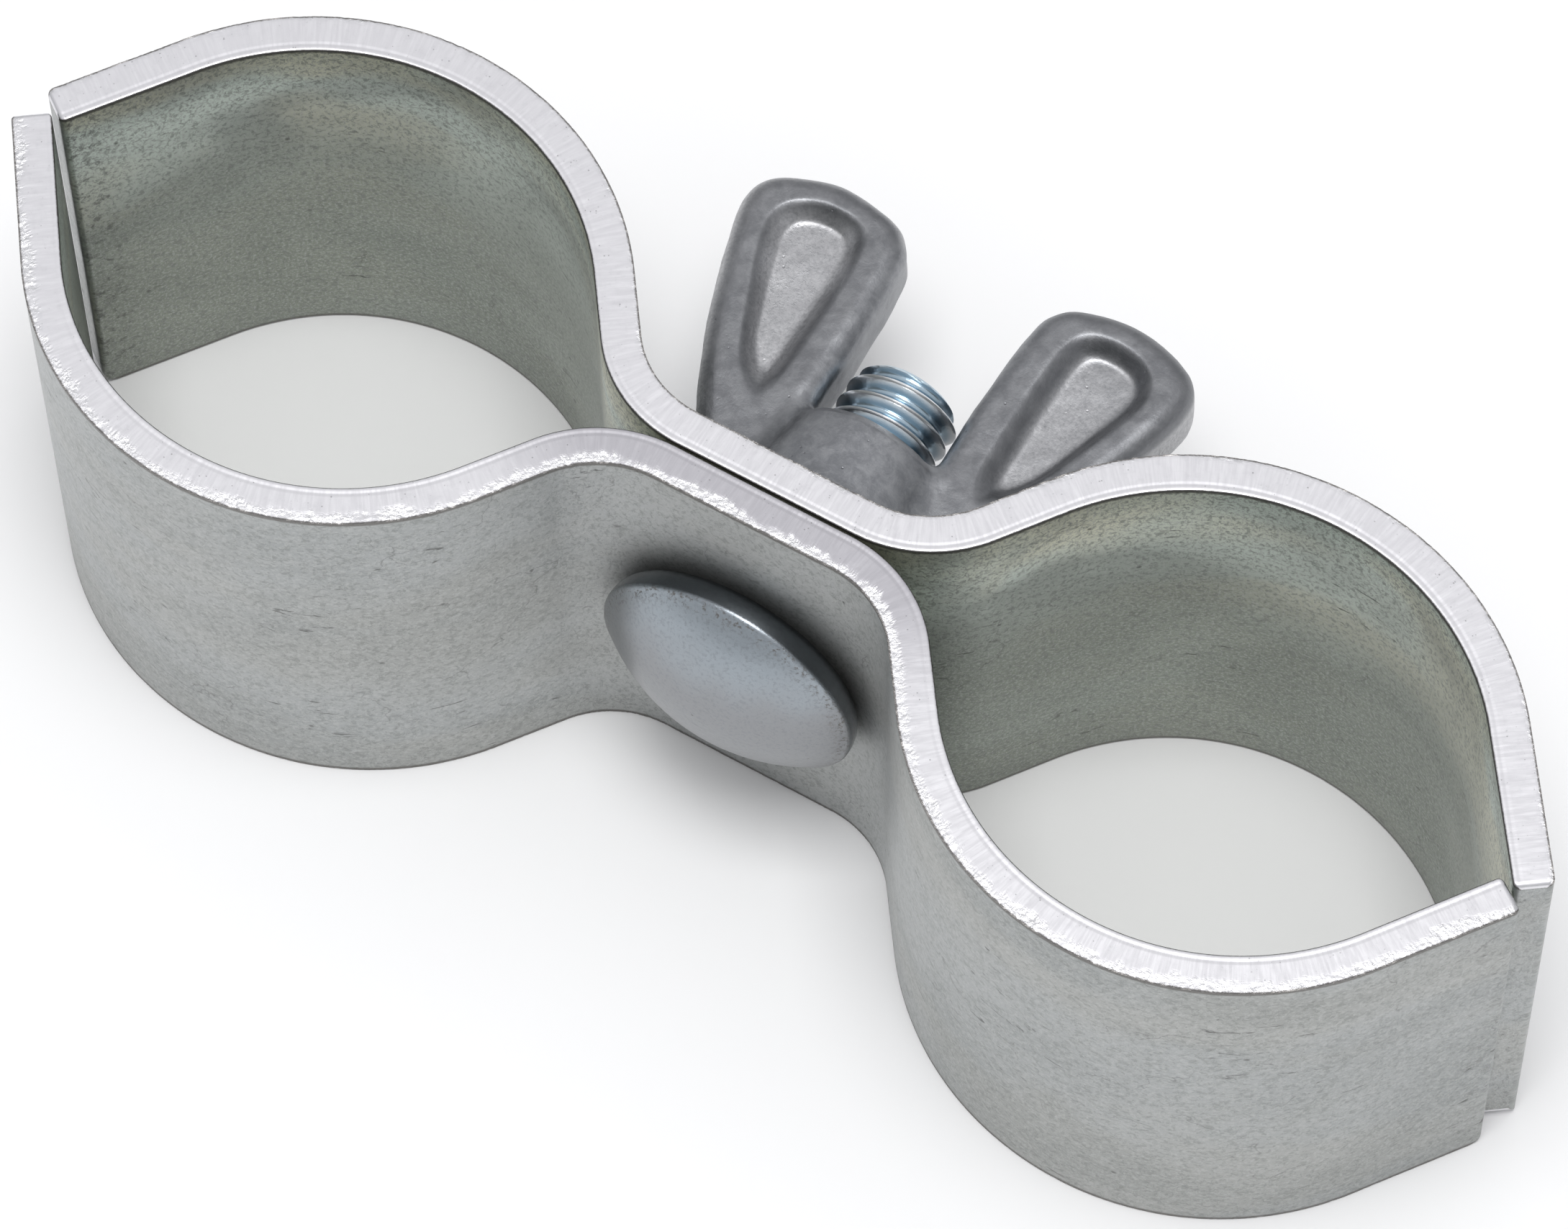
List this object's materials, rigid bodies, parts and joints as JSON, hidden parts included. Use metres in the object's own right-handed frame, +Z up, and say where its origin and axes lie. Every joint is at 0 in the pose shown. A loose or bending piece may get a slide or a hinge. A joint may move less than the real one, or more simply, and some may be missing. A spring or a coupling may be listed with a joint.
{
  "type": "double tube clamp",
  "caption": "Light scaffold coupler clamp: two formed steel straps on a carriage bolt and a cast wing nut grip two parallel tubes.",
  "frame": {"origin": "mid-thickness of the front strap's lower edge, straight below the bolt's axis", "axes": "+X from tube to tube, +Y along the bolt towards the wing nut, +Z up along the tubes"},
  "size_m": [0.1448, 0.0622, 0.045],
  "materials": {
    "zinc_plated_strap": "bright zinc plate gone satin, with bare sheared edges",
    "zinc_plated_bolt": "blue-white zinc plate",
    "cast_wing_nut": "dull mottled zinc, as cast"
  },
  "bodies": {
    "front_half": {"front_strap": "zinc_plated_strap", "carriage_bolt": "zinc_plated_bolt"},
    "back_half": {"back_strap": "zinc_plated_strap"},
    "nut": {"wing_nut": "cast_wing_nut"}
  },
  "joints": [
    {"name": "back_strap_slide", "type": "slide", "parent": "front_half", "child": "back_half", "axis": [0, 1, 0], "range_m": [0, 0.015]},
    {"name": "wing_nut_turn", "type": "hinge", "parent": "back_half", "child": "nut", "pos_m": [0, 0.0054, 0.0225], "axis": [0, 1, 0], "range_deg": [0, 3085.71]}
  ],
  "couplings": [
    {"joint": "wing_nut_turn", "follows": "back_strap_slide", "rad_per_m": 3590.4}
  ]
}
